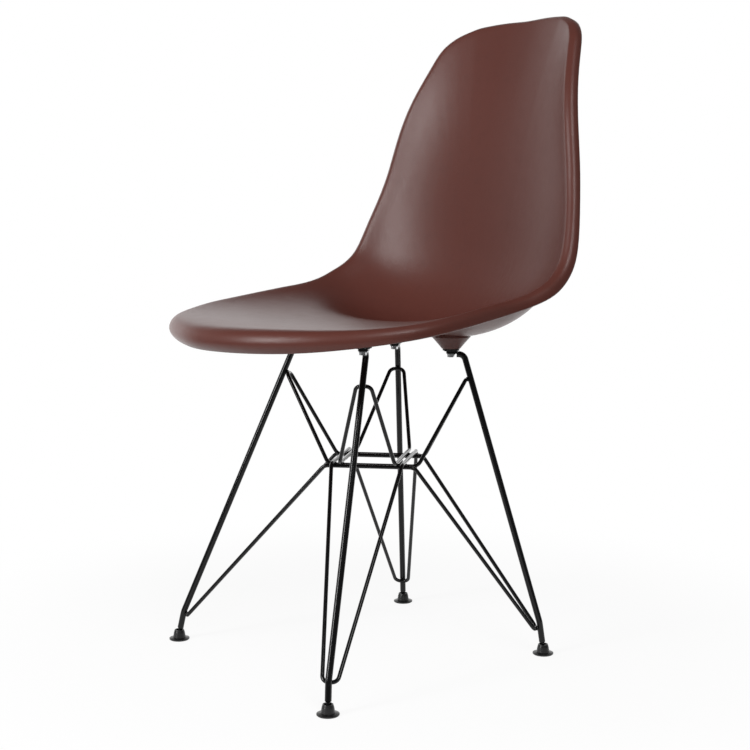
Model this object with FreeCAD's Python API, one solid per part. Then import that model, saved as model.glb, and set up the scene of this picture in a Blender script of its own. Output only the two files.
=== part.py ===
import FreeCAD, Part
import math
import os

V = FreeCAD.Vector
UP = V(0, 0, 1)

# Frame of reference: millimetres, the sitter faces -Y, +X is the sitter's left, +Z is up.
# The origin lies on the floor under the middle of the chair's overall box.

# Where the middle of the chair's overall box lies in the frame of the dimensions below
overall_box_middle_y = 15.81

# Driving dimensions of the wire base
leg_rod_diameter = 8.0
brace_wire_diameter = 5.0
foot_front_x = 178.5
foot_front_y = -176.0
foot_rear_x = 151.5
foot_rear_y = 176.0
knee_front_x = 173.3
knee_front_y = -171.5
knee_front_height = 38.5
knee_rear_x = 148.0
knee_rear_y = 172.5
knee_rear_height = 42.0
corner_front_x = 78.4
corner_front_y = -51.3
corner_rear_x = 71.4
corner_rear_y = 106.0
knee_bend_radius = 40.0
corner_front_bend_radius = 7.0
corner_rear_bend_radius = 9.0

# Flattened fixing tabs at the tops of the legs
tab_front_angle = -48.0
tab_rear_angle = -129.0
tab_front_reach = 18.5
tab_rear_reach = 16.5
tab_thickness = 3.0
tab_width = 12.6
tab_shoulder_to_screw = 7.2
tab_hole_diameter = 5.5
tab_flare_length = 3.0

# Wire loops that brace the legs along the two diagonals of the base
loop_middle_y = 17.7
loop_diagonal_angle = 43.8
lower_bar_offset = 45.0
upper_bar_offset = 35.4
lower_bar_front_reach = 59.0
lower_bar_rear_reach = 56.5
upper_bar_front_reach = 55.0
upper_bar_rear_reach = 59.5
bar_height = 253.2
lower_hook_front_height = 36.0
lower_hook_rear_height = 34.5
upper_hook_front_drop = 41.0
upper_hook_rear_drop = 31.8
hook_half_width = 9.0
hook_bend_radius = 8.0
bar_corner_radius = 12.0
weld_gap = 0.1

# Fixings between each leg and the shell
screw_diameter = 5.0
screw_head_width = 8.0
screw_head_height = 3.5
screw_grip_in_insert = 9.0
washer_diameter = 11.5
washer_thickness = 1.2
pad_diameter = 21.5
pad_thickness = 2.5
pad_collar_diameter = 17.5
pad_collar_height = 1.0
insert_diameter = 8.0
insert_length = 11.0
insert_flange_diameter = 11.0
insert_flange_thickness = 1.0
thread_clearance = 0.05

# Moulded bosses under the shell, measured down from the middle of its wall
boss_front_length = 23.8
boss_rear_length = 16.1
boss_tip_diameter = 24.0
boss_shoulder_diameter = 33.0
boss_shoulder_height = 5.5
boss_root_diameter = 50.0
boss_root_height = 15.0
boss_overshoot = 8.0
boss_patch_half_width = 36.0

# Tilting glides under the legs
glide_diameter = 26.7
glide_rim_thickness = 2.0
glide_flange_rise = 1.2
glide_hub_diameter = 16.6
glide_hub_shoulder_diameter = 14.6
glide_hub_top_diameter = 12.4
glide_height = 13.2
glide_foot_chamfer = 0.8
ball_diameter = 9.0
ball_height = 8.2
ball_clearance = 0.3
ball_neck_diameter = 5.0
ball_to_rod_end = 6.8
rod_end_chamfer = 1.2
socket_mouth_diameter = 8.0
socket_top_diameter = 10.4
socket_section_sides = 8

# The moulded shell
seat_height = 430.0
shell_thickness = 4.6
shell_half_width = 225.0
shell_roundness = 0.6
shell_centre_along = 320.0
edge_chamfer = 1.2


def polar(angle):
    return V(math.cos(math.radians(angle)), math.sin(math.radians(angle)), 0)


def mirrored(point):
    return V(-point.x, point.y, point.z)


# Rods and wires: straight runs joined by tangent bends

def run_between(start, end, radius):
    return Part.makeCylinder(radius, (end - start).Length, start, end - start)


def bend(corner, before, after, bend_radius, radius):
    """A tangent bend at a corner: returns its two tangent points and its solid."""
    into = (corner - before).normalize()
    out = (after - corner).normalize()
    turn = into.getAngle(out)
    tangent = bend_radius * math.tan(turn / 2)
    first = corner - into * tangent
    last = corner + out * tangent
    axis = into.cross(out).normalize()
    centre = first + axis.cross(into) * bend_radius
    section = Part.Face(Part.Wire(Part.makeCircle(radius, first, into)))
    solid = section.revolve(centre, axis, math.degrees(turn))
    return first, last, solid


def bent_rod(points, bend_radii, diameter, closed=False):
    """A round rod along corner points; bend_radii holds one radius per bent corner."""
    radius = diameter / 2
    count = len(points)
    starts = {}
    ends = {}
    pieces = []
    corners = range(count) if closed else range(1, count - 1)
    for i in corners:
        before = points[i - 1]
        after = points[(i + 1) % count]
        first, last, solid = bend(points[i], before, after, bend_radii[i], radius)
        starts[i] = first
        ends[i] = last
        pieces.append(solid)
    runs = count if closed else count - 1
    for i in range(runs):
        j = (i + 1) % count
        start = ends.get(i, points[i])
        end = starts.get(j, points[j])
        pieces.append(run_between(start, end, radius))
    return pieces[0].multiFuse(pieces[1:]).removeSplitter()


# The shell: a dished sheet along the centre line, with a rolled lip all round

# Stations of the shell's upper face, from the front edge to the top edge. Heights are above the seat.
# (centre line's y and height, side line's y and height at the full half width,
# radius of the lip's roll, straight part below it, lean of the lip outwards)
shell_stations = [
    (-252, 2, -252, 2, 14, 0, -75),
    (-218, 7, -218, 7, 14.5, 1, -68),
    (-160, 7, -160, 12, 13, 1, -45),
    (-110, 5, -110, 15, 11.5, 1, -30),
    (-62, 4, -62, 19, 11, 1, -18),
    (30, -3, 36, 37, 11, 2, -10),
    (100, -21, 85, 51, 11, 2, -5),
    (160, -1, 109, 64, 11, 2, -5),
    (196, 50, 127, 86, 11, 2, -5),
    (208, 115, 138, 128, 10, 2, -5),
    (216, 190, 142, 200, 10, 2, -5),
    (232, 280, 132, 303, 10, 2, -5),
    (252, 355, 148, 386, 10, 2, -5),
    (260, 381, 158, 413, 10, 2, -5),
]

# Half of the rim's outline on the flattened sheet: (half width, distance along the centre line)
rim_outline = [
    (0, 20),
    (50, 27),
    (106, 47),
    (150, 74),
    (182, 102),
    (206, 133),
    (221, 165),
    (225, 200),
    (221, 245),
    (214, 300),
    (215, 390),
    (209, 465),
    (201, 535),
    (184, 600),
    (169, 655),
    (152, 710),
    (133, 765),
    (124, 787),
    (105, 805),
    (75, 817),
    (0, 821),
]
samples_per_outline_span = 2
middle_ring = 0.01
dish_ring_count = 16
roll_steps = 3
patch_steps = 6
lip_spread = 60.0
slope_step = 0.5
halving_steps = 40
sharpening_rounds = 12


def station_distances():
    distances = [0.0]
    for before, after in zip(shell_stations, shell_stations[1:]):
        distances.append(distances[-1] + math.dist(before[:2], after[:2]))
    return distances


def curve_through(points, parameters):
    curve = Part.BSplineCurve()
    curve.interpolate(Points=points, Parameters=parameters)
    return curve


distances = station_distances()
centre_curve = curve_through([V(0, s[0], s[1] + seat_height) for s in shell_stations], distances)
side_curve = curve_through([V(0, s[2], s[3] + seat_height) for s in shell_stations], distances)
lip_curve = curve_through([V(s[4], s[5], d) for s, d in zip(shell_stations, distances)], distances)
lean_curve = curve_through([V(s[6], 0, d) for s, d in zip(shell_stations, distances)], distances)


def centre_frame(along):
    """The centre line's point and direction, its normal and the way to the side line."""
    last = distances[-1]
    held = min(max(along, 0.0), last)
    spot = centre_curve.value(held)
    reach = max(min(lip_spread, held, last - held), slope_step)
    chord = centre_curve.value(held + reach) - centre_curve.value(held - reach)
    tangent = V(0, chord.y, chord.z).normalize()
    normal = V(0, -tangent.z, tangent.y)
    point = spot + tangent * (along - held)
    return point, tangent, normal, side_curve.value(held) - spot


def sheet_point(across, along):
    """A point of the shell's upper face from its place on the flattened sheet."""
    point, _, _, wall = centre_frame(along)
    share = across / shell_half_width
    dish = shell_roundness * share ** 2 + (1 - shell_roundness) * share ** 4
    return point + wall * dish + V(across, 0, 0)


def sheet_frame(across, along):
    side = sheet_point(across + slope_step, along) - sheet_point(across - slope_step, along)
    ahead = sheet_point(across, along + slope_step) - sheet_point(across, along - slope_step)
    side.normalize()
    ahead.normalize()
    normal = side.cross(ahead).normalize()
    return sheet_point(across, along), side, ahead, normal


def rim_curve():
    """The closed outline of the sheet, through the listed half and its mirror image."""
    right = [V(x, s, 0) for x, s in rim_outline]
    left = [V(-x, s, 0) for x, s in reversed(rim_outline[1:-1])]
    curve = Part.BSplineCurve()
    curve.interpolate(Points=right + left, PeriodicFlag=True)
    return curve, right + left


def rim_samples():
    """Points and outward directions on the flattened outline, the same on both sides."""
    curve, points = rim_curve()
    knots = [curve.parameter(p) for p in points] + [curve.LastParameter]
    samples = []
    for start, end in zip(knots, knots[1:]):
        for k in range(samples_per_outline_span):
            u = start + (end - start) * k / samples_per_outline_span
            spot = curve.value(u)
            direction = curve.tangent(u)[0]
            samples.append((spot, V(direction.y, -direction.x, 0).normalize()))
    return samples


def lip_profile(spot, outward):
    """Upper-face points and normals of the rolled lip, from the dish to the edge."""
    corner, side, ahead, normal = sheet_frame(spot.x, spot.y)
    _, tangent, centre_normal, _ = centre_frame(spot.y)
    held = min(max(spot.y, 0.0), distances[-1])
    lip = lip_curve.value(held)
    start = (side * outward.x + ahead * outward.y)
    start = (start - normal * start.dot(normal)).normalize()
    lean = math.radians(lean_curve.value(held).x)
    plain_outward = V(outward.x, 0, 0) + tangent * outward.y
    end = (plain_outward * math.sin(lean) - centre_normal * math.cos(lean)).normalize()
    turn = start.getAngle(end)
    turned = (end - start * end.dot(start)).normalize()
    rows = []
    for k in range(1, roll_steps + 1):
        angle = turn * k / roll_steps
        place = start * math.sin(angle) + turned * (1 - math.cos(angle))
        face = turned * -math.cos(angle) + start * math.sin(angle)
        rows.append((corner + place * lip.x, face))
    foot = rows[-1][0]
    face = rows[-1][1]
    rows.append((foot + end * lip.y / 2, face))
    rows.append((foot + end * lip.y, face))
    return rows, end


def ring_shares():
    """How far each ring of the dish lies from its middle to the rim, as shares of one.

    The first two rings lie beyond the middle and only steer the curve at the ones after them.
    """
    step = (1 - middle_ring) / dish_ring_count
    return [middle_ring + k * step for k in range(-2, dish_ring_count)]


def sheet_on_ray(spot, share):
    across = spot.x * share
    along = shell_centre_along + (spot.y - shell_centre_along) * share
    point, _, _, normal = sheet_frame(across, along)
    return point, normal


def column_rows(spot, outward):
    """One column of the shell from the middle of the seat to the lip's edge."""
    rows = [sheet_on_ray(spot, share) for share in ring_shares()]
    corner, _, _, normal = sheet_frame(spot.x, spot.y)
    rows.append((corner, normal))
    lip, edge_direction = lip_profile(spot, outward)
    return rows + lip, edge_direction


def sharpened(points, closed):
    """Poles of a smooth curve that passes through evenly numbered points."""
    poles = list(points)
    count = len(points)
    for _ in range(sharpening_rounds):
        for i, point in enumerate(points):
            if closed or 0 < i < count - 1:
                poles[i] = (point * 6 - poles[i - 1] - poles[(i + 1) % count]) / 4
    return poles


def started(column):
    """Starts a column of poles at its third one, with the curve that those before it give."""
    before, first, second = column[1:4]
    start = (before + first * 4 + second) / 6
    return [start, (first * 2 + second) / 3] + column[3:]


def smooth_surface(rings, closed):
    """A smooth face through rows of points; closed rows run all the way round a middle."""
    rings = [sharpened(ring, closed) for ring in rings]
    poles = [sharpened(list(column), False) for column in zip(*rings)]
    if closed:
        poles = [started(column) for column in poles]
    across = len(poles)
    rows = len(poles[0])
    across_mults = [1] * (across + 1) if closed else [4] + [1] * (across - 4) + [4]
    row_mults = [4] + [1] * (rows - 4) + [4]
    surface = Part.BSplineSurface()
    surface.buildFromPolesMultsKnots(
        poles,
        across_mults,
        row_mults,
        list(range(len(across_mults))),
        list(range(len(row_mults))),
        closed,
        False,
        3,
        3,
    )
    return surface.toShape()


def ruled_band(first_ring, second_ring):
    """A narrow band that runs straight from one closed ring of points to the next."""
    poles = [list(pair) for pair in zip(sharpened(first_ring, True), sharpened(second_ring, True))]
    knots = list(range(len(poles) + 1))
    surface = Part.BSplineSurface()
    surface.buildFromPolesMultsKnots(
        poles, [1] * len(knots), [2, 2], knots, [0, 1], True, False, 3, 1
    )
    return surface.toShape()


def cap_over(face, middle):
    """A small face that closes the ring of a surface nearest its middle."""
    rings = [edge for edge in face.Edges if edge.isClosed()]
    nearest = min(rings, key=lambda edge: (edge.CenterOfMass - middle).Length)
    return Part.makeFilledFace([nearest])


def make_shell_sheet():
    """The dished sheet with its lip and edge, before the bosses are added."""
    columns = [column_rows(spot, outward) for spot, outward in rim_samples()]
    upper = []
    lower = []
    outer_edge = []
    inner_edge = []
    for rows, edge_direction in columns:
        upper.append([point for point, _ in rows])
        lower.append([point - normal * shell_thickness for point, normal in rows])
        chamfer = edge_direction * edge_chamfer
        inset = rows[-1][1] * edge_chamfer
        outer_edge.append(upper[-1][-1] + chamfer - inset)
        inner_edge.append(lower[-1][-1] + chamfer + inset)
    upper_rings = [list(ring) for ring in zip(*upper)]
    lower_rings = [list(ring) for ring in zip(*lower)]
    upper_face = smooth_surface(upper_rings, True)
    lower_face = smooth_surface(lower_rings, True)
    middle = sheet_point(0, shell_centre_along)
    faces = [
        upper_face,
        ruled_band(upper_rings[-1], outer_edge),
        ruled_band(outer_edge, inner_edge),
        ruled_band(inner_edge, lower_rings[-1]),
        lower_face,
        cap_over(upper_face, middle),
        cap_over(lower_face, middle),
    ]
    shell = Part.makeShell(faces)
    shell.sewShape()
    return outward_solid(shell)


def outward_solid(shell):
    solid = Part.makeSolid(shell)
    if solid.Volume < 0:
        solid.reverse()
    return solid


# The four fixing points: the screw's place, its tab and the boss above it

corners = [
    ("front_left", 1, True),
    ("front_right", -1, True),
    ("rear_left", 1, False),
    ("rear_right", -1, False),
]


def on_side(point, side):
    return point if side > 0 else mirrored(point)


def tab_direction(side, front):
    angle = tab_front_angle if front else tab_rear_angle
    return on_side(polar(angle), side)


def rod_corner_place(side, front):
    """Where, seen from above, the leg's rod turns into the level stub under the seat."""
    place = V(corner_front_x, corner_front_y, 0) if front else V(corner_rear_x, corner_rear_y, 0)
    return on_side(place, side)


def screw_place(side, front):
    reach = tab_front_reach if front else tab_rear_reach
    return rod_corner_place(side, front) + tab_direction(side, front) * reach


def wall_height(place):
    """Height of the middle of the shell's wall at a place seen from above."""
    point, _, _, normal = sheet_frame(place.x, shell_along_at(place.y))
    return (point - normal * (shell_thickness / 2)).z


def boss_tip(side, front):
    """The middle of the flat end of the boss, which the pad lies against."""
    place = screw_place(1, front)
    length = boss_front_length if front else boss_rear_length
    return on_side(V(place.x, place.y, wall_height(place) - length), side)


def tab_top(side, front):
    return boss_tip(side, front) - UP * (pad_collar_height + pad_thickness)


def screw_spot(side, front):
    """The screw's axis, at the height of the underside of its tab."""
    return tab_top(side, front) - UP * tab_thickness


def rod_corner(side, front):
    height = tab_top(side, front).z - leg_rod_diameter / 2
    return rod_corner_place(side, front) + UP * height


def tube(spot, outer_diameter, inner_diameter, height):
    outer = Part.makeCylinder(outer_diameter / 2, height, spot)
    return outer.cut(Part.makeCylinder(inner_diameter / 2, height, spot))


def revolved(spot, profile):
    """A turned solid from (radius, height) points that start and end on the axis."""
    points = [spot + V(r, 0, h) for r, h in profile]
    section = Part.Face(Part.makePolygon(points + [points[0]]))
    return section.revolve(spot, UP, 360)


def make_boss(side, front):
    """A stepped cone that grows down from the middle of the shell's thickness."""
    tip = boss_tip(side, front)
    growth = (boss_front_length if front else boss_rear_length) + boss_overshoot
    profile = [
        (0, 0),
        (boss_tip_diameter / 2, 0),
        (boss_shoulder_diameter / 2, boss_shoulder_height),
        (boss_root_diameter / 2, boss_root_height),
        (boss_root_diameter / 2, growth),
        (0, growth),
    ]
    boss = revolved(tip, profile)
    middle_along = shell_along_at(tip.y)
    steps = [k / patch_steps * 2 - 1 for k in range(patch_steps + 1)]
    rows = []
    for s in steps:
        along = middle_along + s * boss_patch_half_width
        row = []
        for t in steps:
            across = tip.x + t * boss_patch_half_width
            point, _, _, normal = sheet_frame(across, along)
            row.append(point - normal * (shell_thickness / 2))
        rows.append(row)
    patch = smooth_surface(rows, False)
    return boss.cut(patch.extrude(UP * growth))


def shell_along_at(y):
    """Distance along the centre line, from the front edge, at which it reaches a given y."""
    low = 0.0
    high = distances[-1] / 2
    for _ in range(halving_steps):
        half = (low + high) / 2
        if centre_frame(half)[0].y < y:
            low = half
        else:
            high = half
    return low


def make_seat_shell():
    bosses = [make_boss(side, front) for _, side, front in corners]
    shell = make_shell_sheet().multiFuse(bosses)
    bores = []
    for _, side, front in corners:
        tip = boss_tip(side, front)
        bore = (insert_diameter / 2) + thread_clearance
        recess = (insert_flange_diameter / 2) + thread_clearance
        bores.append(Part.makeCylinder(bore, insert_length + thread_clearance, tip))
        bores.append(Part.makeCylinder(recess, insert_flange_thickness, tip))
    return shell.cut(bores)


# Fixings

def make_insert(side, front):
    tip = boss_tip(side, front)
    body = Part.makeCylinder(insert_diameter / 2, insert_length, tip)
    flange = Part.makeCylinder(insert_flange_diameter / 2, insert_flange_thickness, tip)
    hole = Part.makeCylinder(screw_diameter / 2 + thread_clearance, insert_length, tip)
    return body.fuse(flange).cut(hole).removeSplitter()


def make_pad(side, front):
    foot = tab_top(side, front)
    collar = tube(foot, pad_collar_diameter, tab_hole_diameter, pad_collar_height)
    disc = tube(foot + UP * pad_collar_height, pad_diameter, tab_hole_diameter, pad_thickness)
    return collar.fuse(disc).removeSplitter()


def make_washer(side, front):
    spot = screw_spot(side, front) - UP * washer_thickness
    return tube(spot, washer_diameter, tab_hole_diameter, washer_thickness)


def make_screw(side, front):
    seat = screw_spot(side, front) - UP * washer_thickness
    foot = seat - UP * screw_head_height
    across_corners = screw_head_width / math.cos(math.radians(30))
    corners_of_head = [foot + polar(60 * k) * (across_corners / 2) for k in range(6)]
    outline = Part.makePolygon(corners_of_head + [corners_of_head[0]])
    head = Part.Face(outline).extrude(UP * screw_head_height)
    top = boss_tip(side, front).z + screw_grip_in_insert
    shank = Part.makeCylinder(screw_diameter / 2, top - seat.z, seat)
    return head.fuse(shank).removeSplitter()


# Legs: one rod each, from the ball in the glide to the flattened tab under the seat

def ball_centre(side, front):
    x = foot_front_x if front else foot_rear_x
    y = foot_front_y if front else foot_rear_y
    return on_side(V(x, y, ball_height), side)


def knee(side, front):
    if front:
        return on_side(V(knee_front_x, knee_front_y, knee_front_height), side)
    return on_side(V(knee_rear_x, knee_rear_y, knee_rear_height), side)


def make_tab(side, front):
    """The rod's flattened end: it widens from the rod, is round at the end and has a hole."""
    spot = screw_spot(side, front)
    along = tab_direction(side, front)
    aside = UP.cross(along)
    shoulder = spot - along * tab_shoulder_to_screw
    narrow = aside * (leg_rod_diameter / 2)
    wide = aside * (tab_width / 2)
    start = shoulder - along * tab_flare_length
    outline = [start - narrow, shoulder - wide, spot - wide, spot + wide, shoulder + wide, start + narrow]
    plate = Part.Face(Part.makePolygon(outline + [outline[0]])).extrude(UP * tab_thickness)
    end = Part.makeCylinder(tab_width / 2, tab_thickness, spot)
    hole = Part.makeCylinder(tab_hole_diameter / 2, tab_thickness, spot)
    return plate.fuse(end).cut(hole)


def make_leg(side, front):
    ball_spot = ball_centre(side, front)
    lower_bend = knee(side, front)
    lean = (lower_bend - ball_spot).normalize()
    rod_end = ball_spot + lean * ball_to_rod_end
    rod_start = rod_end + lean * rod_end_chamfer
    radius = leg_rod_diameter / 2
    ball = Part.makeSphere(ball_diameter / 2, ball_spot)
    neck = Part.makeCylinder(ball_neck_diameter / 2, ball_to_rod_end, ball_spot, lean)
    end = Part.makeCone(radius - rod_end_chamfer, radius, rod_end_chamfer, rod_end, lean)
    reach = tab_front_reach if front else tab_rear_reach
    upper_bend = rod_corner(side, front)
    stub_end = upper_bend + tab_direction(side, front) * (reach - tab_shoulder_to_screw)
    corner_radius = corner_front_bend_radius if front else corner_rear_bend_radius
    rod = bent_rod(
        [rod_start, lower_bend, upper_bend, stub_end],
        [0, knee_bend_radius, corner_radius],
        leg_rod_diameter,
    )
    leg = rod.multiFuse([end, neck, ball, make_tab(side, front)])
    return leg.removeSplitter()


# Wire loops: each runs round two diagonally opposite legs and crosses the middle as two bars

def leg_axis_at(height, side, front):
    low = knee(side, front)
    high = rod_corner(side, front)
    if height < low.z:
        low, high = ball_centre(side, front), low
    share = (height - low.z) / (high.z - low.z)
    spot = low + (high - low) * share
    return spot, (high - low).normalize()


def hook_pair(height, side, front, aside, middle):
    """The two corners of a loop's short end, which lies against the inner side of a leg."""
    spot, axis = leg_axis_at(height, side, front)
    inward = axis.cross(aside).normalize()
    if inward.dot(middle - spot) < 0:
        inward = inward * -1
    apart = (leg_rod_diameter + brace_wire_diameter) / 2 + weld_gap
    apex = spot + inward * apart
    return apex + aside * hook_half_width, apex - aside * hook_half_width


def make_loop(side, is_lower):
    """A closed loop from the front leg of one side to the rear leg of the other."""
    turn = math.radians(loop_diagonal_angle)
    back = on_side(V(-math.sin(turn), math.cos(turn), 0), side)
    aside = on_side(V(math.cos(turn), math.sin(turn), 0), side)
    drop = 0 if side > 0 else brace_wire_diameter + weld_gap
    middle = V(0, loop_middle_y, bar_height - drop)
    offset = lower_bar_offset if is_lower else upper_bar_offset
    front_reach = lower_bar_front_reach if is_lower else upper_bar_front_reach
    rear_reach = lower_bar_rear_reach if is_lower else upper_bar_rear_reach
    front_height = lower_hook_front_height
    rear_height = lower_hook_rear_height
    if not is_lower:
        front_height = screw_spot(side, True).z - upper_hook_front_drop
        rear_height = screw_spot(side, False).z - upper_hook_rear_drop
    front_plus, front_minus = hook_pair(front_height, side, True, aside, middle)
    rear_plus, rear_minus = hook_pair(rear_height, -side, False, aside, middle)
    points = [
        front_plus,
        middle + aside * offset - back * front_reach,
        middle + aside * offset + back * rear_reach,
        rear_plus,
        rear_minus,
        middle - aside * offset + back * rear_reach,
        middle - aside * offset - back * front_reach,
        front_minus,
    ]
    hook = hook_bend_radius
    bar = bar_corner_radius
    return bent_rod(points, [hook, bar, bar, hook, hook, bar, bar, hook], brace_wire_diameter, True)


# Glides: a foot disc with a domed hub that holds the ball of the leg

def make_socket(ball_spot):
    """The hollow round the ball: flat-sided in section, with a narrower mouth and a funnel."""
    reach = ball_diameter / 2 + ball_clearance
    corner = reach * math.tan(math.pi / socket_section_sides)
    mouth = socket_mouth_diameter / 2
    top = glide_height - ball_height
    profile = [
        (0, -reach),
        (corner, -reach),
        (reach, -corner),
        (reach, corner),
        (mouth, corner + reach - mouth),
        (socket_top_diameter / 2, top),
        (0, top),
    ]
    return revolved(ball_spot, profile)


def make_glide(side, front):
    ball_spot = ball_centre(side, front)
    floor_spot = V(ball_spot.x, ball_spot.y, 0)
    flange_top = glide_rim_thickness + glide_flange_rise
    profile = [
        (0, 0),
        (glide_diameter / 2 - glide_foot_chamfer, 0),
        (glide_diameter / 2, glide_foot_chamfer),
        (glide_diameter / 2, glide_rim_thickness),
        (glide_hub_diameter / 2, flange_top),
        (glide_hub_shoulder_diameter / 2, ball_height + glide_flange_rise),
        (glide_hub_top_diameter / 2, glide_height),
        (0, glide_height),
    ]
    return revolved(floor_spot, profile).cut(make_socket(ball_spot))


def placed(shape):
    """Moves a shape so that the middle of the chair's overall box stands over the origin."""
    moved = shape.copy()
    moved.translate(V(0, -overall_box_middle_y, 0))
    return moved


def main():
    os.makedirs("parts", exist_ok=True)
    nodes = {"seat_shell": make_seat_shell()}
    for name, side, front in corners:
        nodes["mount_pad_" + name] = make_pad(side, front)
        nodes["leg_" + name] = make_leg(side, front)
        nodes["glide_" + name] = make_glide(side, front)
    for name, side in (("front_left", 1), ("front_right", -1)):
        nodes["lower_loop_from_" + name] = make_loop(side, True)
        nodes["upper_loop_from_" + name] = make_loop(side, False)
    sets = {"threaded_inserts": make_insert, "mount_screws": make_screw, "screw_washers": make_washer}
    for name, make in sets.items():
        nodes[name] = Part.makeCompound([make(side, front) for _, side, front in corners])
    for name, shape in nodes.items():
        placed(shape).exportStep("parts/" + name + ".step")


if __name__ == "__main__":
    main()
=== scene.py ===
import bmesh
import bpy
from bpy.props import FloatProperty, FloatVectorProperty, PointerProperty
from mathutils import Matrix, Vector, noise
from mathutils.bvhtree import BVHTree


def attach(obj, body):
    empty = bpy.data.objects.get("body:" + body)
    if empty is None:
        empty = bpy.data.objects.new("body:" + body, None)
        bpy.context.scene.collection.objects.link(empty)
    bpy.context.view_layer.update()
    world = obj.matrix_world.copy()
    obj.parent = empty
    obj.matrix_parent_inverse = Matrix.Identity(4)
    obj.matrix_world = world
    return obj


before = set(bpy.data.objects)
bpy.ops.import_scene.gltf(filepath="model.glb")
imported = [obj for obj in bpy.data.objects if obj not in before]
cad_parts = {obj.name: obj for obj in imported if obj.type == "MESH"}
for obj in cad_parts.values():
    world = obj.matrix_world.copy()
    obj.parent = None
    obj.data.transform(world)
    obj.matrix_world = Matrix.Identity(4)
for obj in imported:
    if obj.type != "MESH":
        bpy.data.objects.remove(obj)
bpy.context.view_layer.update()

bl_info = {
    "name": "Moulded Shell Chair",
    "version": (1, 1, 0),
    "blender": (4, 5, 0),
    "location": "View3D > Sidebar > Chair",
    "description": "Finishes a moulded shell chair on a wire base and sets it in a plain studio",
    "category": "Object",
}

CORNERS = ("front_left", "front_right", "rear_left", "rear_right")
LEGS = ["leg_" + corner for corner in CORNERS]
LOOPS = [level + "_loop_from_" + side for level in ("lower", "upper") for side in CORNERS[:2]]
PADS = ["mount_pad_" + corner for corner in CORNERS]
GLIDES = ["glide_" + corner for corner in CORNERS]
CHAIR_BODY = "chair"

# The camera's place and aim in the chair's frame, in metres, and its sensor and lens, in millimetres
CAMERA_PLACE = (1.53117, -1.09233, 0.58967)
CAMERA_TARGET = (0.0262, -0.01711, 0.3632)
CAMERA_SENSOR = 36.0
CAMERA_LENS = 70.86

# Each lamp's place, width and height in metres, and the point that all of them aim at
HIGH_LAMP = ((1.87, -0.5, 2.24), 0.9, 1.2)
FRONT_LAMP = ((-0.12, -2.28, 1.2), 0.45, 1.5)
FILL_LAMP = ((2.5, -1.8, 0.7), 2.0, 2.0)
LIT_POINT = (0.0, 0.0, 0.5)

# The way to the bright backdrop, how far towards it the room goes from dim to bright, and how high
# up it fades out, both as parts of a direction's length
BACKDROP_WAY = (-0.81, 0.58, 0.0)
BACKDROP_EDGE = (0.15, 0.8)
BACKDROP_TOP = (0.25, 0.6)

# The share of the floor's shading that shows, the parts of its radius between which that fades
# out, and its colour in light that it throws back
FLOOR_SHADOW = 0.1
FLOOR_FADE = (0.35, 0.9)
FLOOR_COLOUR = (0.5, 0.5, 0.5, 1.0)
FLOOR_ROUGHNESS = 0.9
FLOOR_SIDES = 96
WHITE = (1.0, 1.0, 1.0, 1.0)

# Scales of the finishes' patterns, in waves per metre
SHELL_CLOUDS = 5.0
SHELL_MOTTLE = 70.0
ROD_PEEL = 180.0
ROD_PATCHES = 38.0
ROD_SCUFFS = 140.0
PLASTIC_PATCHES = 90.0
PLASTIC_GRAIN = 1500.0
PLASTIC_WEAR = 260.0
STEEL_CRYSTALS = 700.0
STEEL_PATCHES = 160.0
BRASS_TURNING = 900.0
BRASS_TARNISH = 220.0

# Depths of the fixed reliefs, in metres
PLASTIC_DEPTH = 0.00005
STEEL_DEPTH = 0.00004
BRASS_DEPTH = 0.00006

# The heights above the floor between which wear fades out, in metres
ROD_WEAR = (0.02, 0.12)
FOOT_WEAR = (0.001, 0.005)

# The middle roughness of each finish that a user doesn't set
PAD_ROUGHNESS = 0.5
GLIDE_ROUGHNESS = 0.36
STEEL_ROUGHNESS = 0.26
BRASS_ROUGHNESS = 0.3

# How closely wires are searched for contacts, in metres. Each touch gives the gap that counts as
# contact and the distance within which points belong to one contact: with a leg, and with a loop
WIRE_STEP = 0.001
LEG_TOUCH = (0.001, 0.02)
LOOP_TOUCH = (0.0006, 0.004)

# A weld bead's ripples in waves per metre, their height as a share of its radius, and its fineness
BEAD_WAVES = 450.0
BEAD_UNEVENNESS = 0.09
BEAD_SUBDIVISIONS = 3


# Shader maths

class Term:
    """A node socket that can be used in a Python expression."""

    def __init__(self, tree, socket):
        self.tree = tree
        self.socket = socket

    def _math(self, operation, *inputs):
        return self.tree.node("ShaderNodeMath", {"operation": operation}, dict(enumerate(inputs)))

    def __add__(self, other):
        return self._math("ADD", self, other)

    def __radd__(self, other):
        return self._math("ADD", other, self)

    def __sub__(self, other):
        return self._math("SUBTRACT", self, other)

    def __rsub__(self, other):
        return self._math("SUBTRACT", other, self)

    def __mul__(self, other):
        return self._math("MULTIPLY", self, other)

    def __rmul__(self, other):
        return self._math("MULTIPLY", other, self)

    def smooth(self, low, high):
        """Goes from 0 at low to 1 at high with soft ends."""
        values = {"Value": self, "From Min": low, "From Max": high}
        return self.tree.node("ShaderNodeMapRange", {"interpolation_type": "SMOOTHSTEP"}, values)


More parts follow.
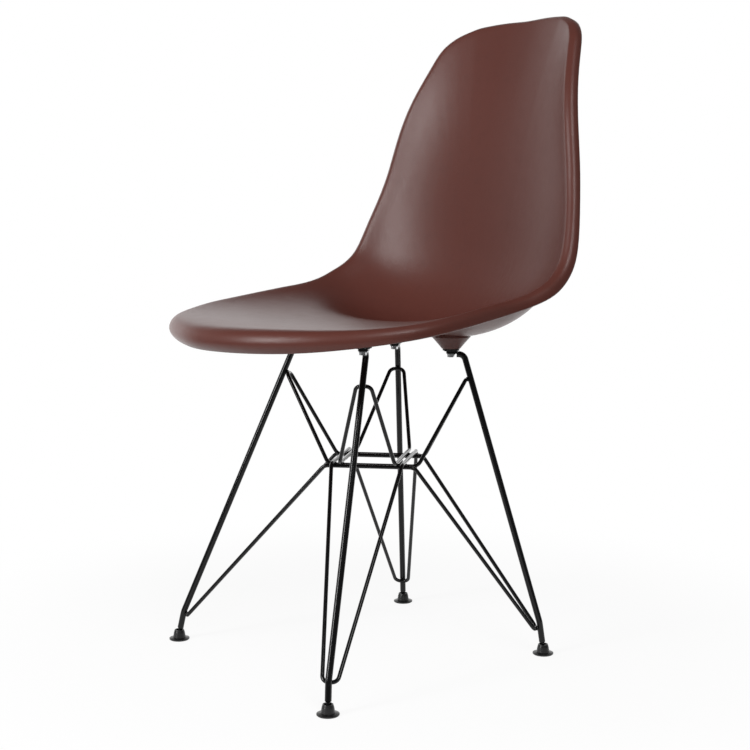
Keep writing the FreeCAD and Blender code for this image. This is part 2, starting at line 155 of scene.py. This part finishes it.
class Tree:
    """The nodes of a material or of the world, all added by its one node method."""

    def __init__(self, owner):
        owner.use_nodes = True
        self.nodes = owner.node_tree.nodes
        self.links = owner.node_tree.links
        self.nodes.clear()

    def node(self, kind, settings=None, values=None, output=0):
        """Adds a node: its settings first, then the values or links of its sockets."""
        made = self.nodes.new(kind)
        for key, value in (settings or {}).items():
            setattr(made, key, value)
        for key, value in (values or {}).items():
            if isinstance(value, Term):
                self.links.new(value.socket, made.inputs[key])
            else:
                made.inputs[key].default_value = value
        return Term(self, made.outputs[output]) if made.outputs else None

    def place(self):
        return self.node("ShaderNodeTexCoord", output="Object")

    def height(self):
        return self.node("ShaderNodeSeparateXYZ", {}, {0: self.place()}, "Z")

    def noise(self, scale, detail, roughness=0.5):
        values = {"Vector": self.place(), "Scale": scale, "Detail": detail, "Roughness": roughness}
        return self.node("ShaderNodeTexNoise", {}, values, "Fac")

    def blend(self, share, first, second):
        """Mixes two colours by a share from 0 to 1."""
        return self.node("ShaderNodeMix", {"data_type": "RGBA"}, {0: share, 6: first, 7: second}, 2)

    def bump(self, height, depth, strength, below=None):
        values = {"Height": height, "Distance": depth, "Strength": strength}
        if below is not None:
            values["Normal"] = below
        return self.node("ShaderNodeBump", {}, values)

    def ray(self, kind):
        return self.node("ShaderNodeLightPath", output=kind)

    def seen(self):
        """One for rays from the camera and for mirrored and refracted ones, else zero."""
        return self.ray("Is Camera Ray") + self.ray("Is Glossy Ray") + self.ray("Is Transmission Ray")

    def shader(self, **values):
        """The surface's shader; underscores in the names of its sockets stand for spaces."""
        sockets = {key.replace("_", " "): value for key, value in values.items()}
        return self.node("ShaderNodeBsdfPrincipled", {}, sockets)

    def show(self, surface):
        self.node("ShaderNodeOutputMaterial", {}, {"Surface": surface})


def opaque(colour):
    return (colour[0], colour[1], colour[2], 1.0)


def scaled(colour, share):
    return opaque([min(part * share, 1.0) for part in colour])


def dress(names, material):
    """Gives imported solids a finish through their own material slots."""
    for name in names:
        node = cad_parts[name]
        if not node.material_slots:
            node.data.materials.append(material)
        for slot in node.material_slots:
            slot.material = material


# Finishes

def shell_plastic(sizes):
    material = bpy.data.materials.new("shell_moulded_plastic")
    tree = Tree(material)
    colour = tuple(sizes.colour)
    clouds = tree.noise(SHELL_CLOUDS, 3.0)
    mottle = tree.noise(SHELL_MOTTLE, 4.0, 0.6)
    flecks = tree.noise(1.0 / sizes.grain, 2.0, 0.6)
    ripple = tree.noise(0.3 / sizes.grain, 3.0, 0.55)
    shade = tree.blend(clouds.smooth(0.3, 0.7), scaled(colour, 0.97), scaled(colour, 1.03))
    tone = tree.blend(mottle.smooth(0.45, 0.75) * 0.5, shade, scaled(colour, 0.9))
    rippled = tree.bump(ripple, sizes.grain_depth, 0.3)
    surface = tree.shader(
        Base_Color=tone,
        Roughness=sizes.roughness + (mottle - 0.5) * 0.06 + (flecks - 0.5) * 0.08,
        Normal=tree.bump(flecks, sizes.grain_depth, 0.6, rippled),
        Specular_IOR_Level=sizes.gloss,
    )
    tree.show(surface)
    return material


def rod_coating(sizes):
    material = bpy.data.materials.new("rod_black_powder_coat")
    tree = Tree(material)
    colour = tuple(sizes.colour)
    orange_peel = tree.noise(ROD_PEEL, 0.0)
    patches = tree.noise(ROD_PATCHES, 3.0)
    near_floor = 1.0 - tree.height().smooth(*ROD_WEAR)
    scuffs = tree.noise(ROD_SCUFFS, 4.0, 0.7).smooth(0.55, 0.7) * near_floor
    dusted = tree.blend(patches.smooth(0.5, 0.8) * 0.4, opaque(colour), scaled(colour, 1.7))
    surface = tree.shader(
        Base_Color=tree.blend(scuffs * 0.5, dusted, scaled(colour, 4.0)),
        Roughness=sizes.roughness + (patches - 0.5) * 0.08 + scuffs * 0.15,
        Normal=tree.bump(orange_peel, sizes.peel_depth, 0.3),
        Specular_IOR_Level=sizes.gloss,
    )
    tree.show(surface)
    return material


def rubbed_plastic(name, colour, roughness):
    material = bpy.data.materials.new(name)
    tree = Tree(material)
    patches = tree.noise(PLASTIC_PATCHES, 3.0)
    grain = tree.noise(PLASTIC_GRAIN, 2.0)
    near_floor = 1.0 - tree.height().smooth(*FOOT_WEAR)
    worn = tree.noise(PLASTIC_WEAR, 3.0, 0.7).smooth(0.5, 0.75) * near_floor
    faded = tree.blend(patches.smooth(0.48, 0.8) * 0.5, opaque(colour), scaled(colour, 1.6))
    surface = tree.shader(
        Base_Color=tree.blend(worn * 0.5, faded, scaled(colour, 4.0)),
        Roughness=roughness + (patches - 0.5) * 0.15 + worn * 0.15,
        Normal=tree.bump(grain, PLASTIC_DEPTH, 0.5),
    )
    tree.show(surface)
    return material


def plated_steel(sizes):
    material = bpy.data.materials.new("fixing_zinc_plated_steel")
    tree = Tree(material)
    crystals = tree.noise(STEEL_CRYSTALS, 4.0, 0.7)
    patches = tree.noise(STEEL_PATCHES, 2.0)
    colour = tuple(sizes.colour)
    surface = tree.shader(
        Base_Color=tree.blend(patches.smooth(0.4, 0.7), opaque(colour), scaled(colour, 0.75)),
        Roughness=STEEL_ROUGHNESS + (crystals - 0.5) * 0.2,
        Normal=tree.bump(crystals, STEEL_DEPTH, 0.5),
        Metallic=1.0,
    )
    tree.show(surface)
    return material


def turned_brass(sizes):
    material = bpy.data.materials.new("insert_turned_brass")
    tree = Tree(material)
    turning = tree.node(
        "ShaderNodeTexWave",
        {"wave_type": "BANDS", "bands_direction": "Z"},
        {"Vector": tree.place(), "Scale": BRASS_TURNING, "Distortion": 0.5, "Detail": 1.0},
        "Fac",
    )
    tarnish = tree.noise(BRASS_TARNISH, 3.0)
    colour = tuple(sizes.insert_colour)
    surface = tree.shader(
        Base_Color=tree.blend(tarnish.smooth(0.35, 0.7), opaque(colour), scaled(colour, 0.7)),
        Roughness=BRASS_ROUGHNESS + (tarnish - 0.5) * 0.2,
        Normal=tree.bump(turning, BRASS_DEPTH, 0.5),
        Metallic=1.0,
    )
    tree.show(surface)
    return material


# Weld beads

def facets(name):
    """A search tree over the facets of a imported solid."""
    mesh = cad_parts[name].data
    points = [vertex.co.copy() for vertex in mesh.vertices]
    return BVHTree.FromPolygons(points, [polygon.vertices[:] for polygon in mesh.polygons])


def points_along(name, step):
    """Points a step apart on the edges of a wire's mesh."""
    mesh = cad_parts[name].data
    for edge in mesh.edges:
        start, end = (mesh.vertices[index].co for index in edge.vertices)
        count = max(1, int((end - start).length / step))
        for index in range(count):
            yield start.lerp(end, index / count)


def contacts(name, others, reach, apart):
    """The middles of the contacts between one wire and the others."""
    places = []
    sums = []
    trees = [facets(other) for other in others]
    for point in points_along(name, WIRE_STEP):
        for tree in trees:
            near = tree.find_nearest(point, reach)[0]
            if near is None:
                continue
            middle = (point + near) / 2
            for index, place in enumerate(places):
                if (place - middle).length < apart:
                    sums[index] = (sums[index][0] + middle, sums[index][1] + 1)
                    break
            else:
                places.append(middle)
                sums.append((middle, 1))
    return [total / count for total, count in sums]


def add_bead(mesh, place, radius):
    """Adds one lump of weld metal, a little uneven, as welds are under their paint."""
    made = bmesh.ops.create_icosphere(mesh, subdivisions=BEAD_SUBDIVISIONS, radius=radius)
    for vertex in made["verts"]:
        ripple = noise.noise((vertex.co + place) * BEAD_WAVES)
        vertex.co = place + vertex.co * (1.0 + BEAD_UNEVENNESS * ripple)


def weld_piece(name, spots, radius, coating):
    """Makes one piece of the weld beads at some spots, fixed to the chair."""
    mesh = bmesh.new()
    for spot in spots:
        add_bead(mesh, spot, radius)
    data = bpy.data.meshes.new(name)
    mesh.to_mesh(data)
    mesh.free()
    for polygon in data.polygons:
        polygon.use_smooth = True
    data.materials.append(coating)
    piece = bpy.data.objects.new(name, data)
    bpy.context.scene.collection.objects.link(piece)
    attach(piece, CHAIR_BODY)


# Sizes and colours that a user may change

class ShellSizes(bpy.types.PropertyGroup):
    colour: FloatVectorProperty(
        name="Colour",
        description="Colour of the moulded shell",
        subtype="COLOR",
        size=3,
        min=0.0,
        max=1.0,
        default=(0.1, 0.027, 0.0193),
    )
    roughness: FloatProperty(
        name="Roughness",
        description="How satin the shell's surface is",
        default=0.4,
        min=0.0,
        max=1.0,
    )
    gloss: FloatProperty(
        name="Gloss",
        description="How strongly the shell's surface mirrors the light",
        default=0.4,
        min=0.0,
        max=1.0,
    )
    grain: FloatProperty(
        name="Grain",
        description="Width of one fleck of the moulded grain",
        default=0.0014,
        unit="LENGTH",
    )
    grain_depth: FloatProperty(
        name="Grain Depth",
        description="Depth of the moulded grain",
        default=0.00018,
        unit="LENGTH",
    )


class BaseSizes(bpy.types.PropertyGroup):
    colour: FloatVectorProperty(
        name="Colour",
        description="Colour of the powder coat on the legs and loops",
        subtype="COLOR",
        size=3,
        min=0.0,
        max=1.0,
        default=(0.004, 0.004, 0.0043),
    )
    roughness: FloatProperty(
        name="Roughness",
        description="How satin the powder coat is",
        default=0.15,
        min=0.0,
        max=1.0,
    )
    gloss: FloatProperty(
        name="Gloss",
        description="How strongly the powder coat mirrors the light",
        default=0.3,
        min=0.0,
        max=1.0,
    )
    peel_depth: FloatProperty(
        name="Peel Depth",
        description="Depth of the fine waves in the powder coat",
        default=0.00001,
        unit="LENGTH",
    )
    leg_weld: FloatProperty(
        name="Leg Weld",
        description="Radius of a weld bead between a loop and a leg",
        default=0.0031,
        unit="LENGTH",
    )
    wire_weld: FloatProperty(
        name="Wire Weld",
        description="Radius of a weld bead where two loops cross",
        default=0.0021,
        unit="LENGTH",
    )


class FixingSizes(bpy.types.PropertyGroup):
    colour: FloatVectorProperty(
        name="Plating Colour",
        description="Colour of the plated screws and washers",
        subtype="COLOR",
        size=3,
        min=0.0,
        max=1.0,
        default=(0.62, 0.63, 0.64),
    )
    pad_colour: FloatVectorProperty(
        name="Pad Colour",
        description="Colour of the pads between the tabs and the shell",
        subtype="COLOR",
        size=3,
        min=0.0,
        max=1.0,
        default=(0.009, 0.009, 0.0095),
    )
    insert_colour: FloatVectorProperty(
        name="Insert Colour",
        description="Colour of the threaded inserts in the bosses",
        subtype="COLOR",
        size=3,
        min=0.0,
        max=1.0,
        default=(0.72, 0.55, 0.27),
    )


class GlideSizes(bpy.types.PropertyGroup):
    colour: FloatVectorProperty(
        name="Colour",
        description="Colour of the foot glides",
        subtype="COLOR",
        size=3,
        min=0.0,
        max=1.0,
        default=(0.006, 0.006, 0.0063),
    )


class StageSizes(bpy.types.PropertyGroup):
    high_power: FloatProperty(
        name="High Power",
        description="Power of the wide soft lamp high at the sitter's left",
        default=28.0,
        min=0.0,
        unit="POWER",
    )
    front_power: FloatProperty(
        name="Front Power",
        description="Power of the tall soft lamp in front of the chair",
        default=42.0,
        min=0.0,
        unit="POWER",
    )
    fill_power: FloatProperty(
        name="Fill Power",
        description="Power of the very wide lamp that only lightens the shaded side",
        default=15.0,
        min=0.0,
        unit="POWER",
    )
    backdrop_light: FloatProperty(
        name="Backdrop Light",
        description="Strength of the light from the bright side of the room",
        default=1.6,
        min=0.0,
    )
    room_light: FloatProperty(
        name="Room Light",
        description="Strength of the light from the dim side of the room",
        default=0.14,
        min=0.0,
    )
    floor_radius: FloatProperty(
        name="Floor Radius",
        description="Radius of the pale floor",
        default=0.9,
        unit="LENGTH",
    )


# Pieces

class CHAIR_OT_shell(bpy.types.Operator):
    """Finish the one-piece moulded shell"""

    bl_idname = "chair.shell"
    bl_label = "Shell"

    def execute(self, context):
        dress(["seat_shell"], shell_plastic(context.scene.chair_shell))
        return {"FINISHED"}


class CHAIR_OT_base(bpy.types.Operator):
    """Finish the rod legs and the wire loops, and add the welds between them"""

    bl_idname = "chair.base"
    bl_label = "Wire Base"

    def execute(self, context):
        sizes = context.scene.chair_base
        coating = rod_coating(sizes)
        dress(LEGS + LOOPS, coating)
        on_legs = []
        crossings = []
        for index, loop in enumerate(LOOPS):
            on_legs += contacts(loop, LEGS, *LEG_TOUCH)
            later = LOOPS[index + 1:]
            if later:
                crossings += contacts(loop, later, *LOOP_TOUCH)
        if len(on_legs) != len(LEGS) * 2:
            raise RuntimeError("each leg should meet two loops, but %d contacts were found" % len(on_legs))
        weld_piece("weld_beads_on_legs", on_legs, sizes.leg_weld, coating)
        weld_piece("weld_beads_at_crossings", crossings, sizes.wire_weld, coating)
        return {"FINISHED"}


class CHAIR_OT_fixings(bpy.types.Operator):
    """Finish the pads, inserts, screws and washers under the shell"""

    bl_idname = "chair.fixings"
    bl_label = "Fixings"

    def execute(self, context):
        sizes = context.scene.chair_fixings
        dress(["mount_screws", "screw_washers"], plated_steel(sizes))
        dress(PADS, rubbed_plastic("pad_dark_plastic", tuple(sizes.pad_colour), PAD_ROUGHNESS))
        dress(["threaded_inserts"], turned_brass(sizes))
        return {"FINISHED"}


class CHAIR_OT_glides(bpy.types.Operator):
    """Finish the round glides under the legs"""

    bl_idname = "chair.glides"
    bl_label = "Glides"

    def execute(self, context):
        sizes = context.scene.chair_glides
        dress(GLIDES, rubbed_plastic("glide_black_plastic", tuple(sizes.colour), GLIDE_ROUGHNESS))
        return {"FINISHED"}


def aimed(place, target):
    """The turn of a lamp or camera at one place that looks at another."""
    return (Vector(target) - Vector(place)).to_track_quat("-Z", "Y").to_euler()


def make_floor(sizes):
    """Adds a white disc that keeps the chair's shadow, fades into the white and is clear from below."""
    radius = sizes.floor_radius
    mesh = bmesh.new()
    bmesh.ops.create_circle(mesh, cap_ends=True, segments=FLOOR_SIDES, radius=radius)
    data = bpy.data.meshes.new("studio_floor")
    mesh.to_mesh(data)
    mesh.free()
    floor = bpy.data.objects.new("studio_floor", data)
    bpy.context.scene.collection.objects.link(floor)
    material = bpy.data.materials.new("studio_floor_white")
    tree = Tree(material)
    distance = tree.node("ShaderNodeVectorMath", {"operation": "LENGTH"}, {0: tree.place()}, "Value")
    faded = distance.smooth(FLOOR_FADE[0] * radius, FLOOR_FADE[1] * radius)
    shadow = (1.0 - faded) * FLOOR_SHADOW
    pale = tree.blend(tree.ray("Is Camera Ray"), FLOOR_COLOUR, WHITE)
    lit = tree.shader(Base_Color=pale, Roughness=FLOOR_ROUGHNESS, Specular_IOR_Level=0.0)
    white = tree.node("ShaderNodeEmission", {}, {"Color": WHITE, "Strength": 1.0})
    topside = tree.node("ShaderNodeMixShader", {}, {0: tree.seen() * (1.0 - shadow), 1: lit, 2: white})
    underside = tree.node("ShaderNodeNewGeometry", output="Backfacing")
    clear = tree.node("ShaderNodeBsdfTransparent")
    tree.show(tree.node("ShaderNodeMixShader", {}, {0: underside, 1: topside, 2: clear}))
    data.materials.append(material)


def make_lamp(name, place, width, height, power):
    """Adds a soft lamp that the camera doesn't see."""
    light = bpy.data.lights.new(name, "AREA")
    light.shape = "RECTANGLE"
    light.size = width
    light.size_y = height
    light.energy = power
    lamp = bpy.data.objects.new(name, light)
    lamp.location = place
    lamp.rotation_euler = aimed(place, LIT_POINT)
    bpy.context.scene.collection.objects.link(lamp)
    lamp.visible_camera = False
    return lamp


def make_world(sizes):
    """Makes light from all round, brighter from the backdrop's side, and white to the camera."""
    world = bpy.data.worlds.new("studio_light")
    bpy.context.scene.world = world
    tree = Tree(world)
    way = tree.node("ShaderNodeTexCoord", output="Generated")
    product = {"operation": "DOT_PRODUCT"}
    facing = tree.node("ShaderNodeVectorMath", product, {0: way, 1: BACKDROP_WAY}, "Value")
    height = tree.node("ShaderNodeSeparateXYZ", {}, {0: way}, "Z")
    share = facing.smooth(*BACKDROP_EDGE) * (1.0 - height.smooth(*BACKDROP_TOP))
    strength = share * (sizes.backdrop_light - sizes.room_light) + sizes.room_light
    room = tree.node("ShaderNodeBackground", {}, {"Color": WHITE, "Strength": strength})
    white = tree.node("ShaderNodeBackground", {}, {"Color": WHITE, "Strength": 1.0})
    mixed = tree.node("ShaderNodeMixShader", {}, {0: tree.ray("Is Camera Ray"), 1: room, 2: white})
    tree.node("ShaderNodeOutputWorld", {}, {"Surface": mixed})


def make_camera():
    data = bpy.data.cameras.new("studio_camera")
    data.sensor_width = CAMERA_SENSOR
    data.lens = CAMERA_LENS
    camera = bpy.data.objects.new("studio_camera", data)
    camera.location = CAMERA_PLACE
    camera.rotation_euler = aimed(CAMERA_PLACE, CAMERA_TARGET)
    bpy.context.scene.collection.objects.link(camera)
    bpy.context.scene.camera = camera


class CHAIR_OT_stage(bpy.types.Operator):
    """Set up the floor, the soft studio light and the camera"""

    bl_idname = "chair.stage"
    bl_label = "Studio"

    def execute(self, context):
        sizes = context.scene.chair_stage
        make_floor(sizes)
        make_world(sizes)
        make_lamp("high_lamp", *HIGH_LAMP, sizes.high_power)
        make_lamp("front_lamp", *FRONT_LAMP, sizes.front_power)
        fill = make_lamp("fill_lamp", *FILL_LAMP, sizes.fill_power)
        fill.visible_glossy = False
        make_camera()
        context.scene.view_settings.view_transform = "Standard"
        return {"FINISHED"}


class CHAIR_PT_panel(bpy.types.Panel):
    """Lists the chair's pieces and their sizes"""

    bl_idname = "CHAIR_PT_panel"
    bl_label = "Moulded Shell Chair"
    bl_space_type = "VIEW_3D"
    bl_region_type = "UI"
    bl_category = "Chair"

    def draw(self, context):
        for operator, group in PIECES:
            box = self.layout.box()
            box.operator(operator.bl_idname)
            sizes = getattr(context.scene, group)
            for name in sizes.bl_rna.properties.keys():
                if name not in ("name", "rna_type"):
                    box.prop(sizes, name)


GROUPS = {
    "chair_shell": ShellSizes,
    "chair_base": BaseSizes,
    "chair_fixings": FixingSizes,
    "chair_glides": GlideSizes,
    "chair_stage": StageSizes,
}
PIECES = (
    (CHAIR_OT_shell, "chair_shell"),
    (CHAIR_OT_base, "chair_base"),
    (CHAIR_OT_fixings, "chair_fixings"),
    (CHAIR_OT_glides, "chair_glides"),
    (CHAIR_OT_stage, "chair_stage"),
)
CLASSES = tuple(GROUPS.values()) + tuple(operator for operator, _ in PIECES) + (CHAIR_PT_panel,)


def register():
    for cls in CLASSES:
        bpy.utils.register_class(cls)
    for name, group in GROUPS.items():
        setattr(bpy.types.Scene, name, PointerProperty(type=group))


def unregister():
    for name in GROUPS:
        delattr(bpy.types.Scene, name)
    for cls in reversed(CLASSES):
        bpy.utils.unregister_class(cls)


def main():
    register()
    bpy.ops.chair.shell()
    bpy.ops.chair.base()
    bpy.ops.chair.fixings()
    bpy.ops.chair.glides()
    bpy.ops.chair.stage()


if __name__ == "__main__":
    main()
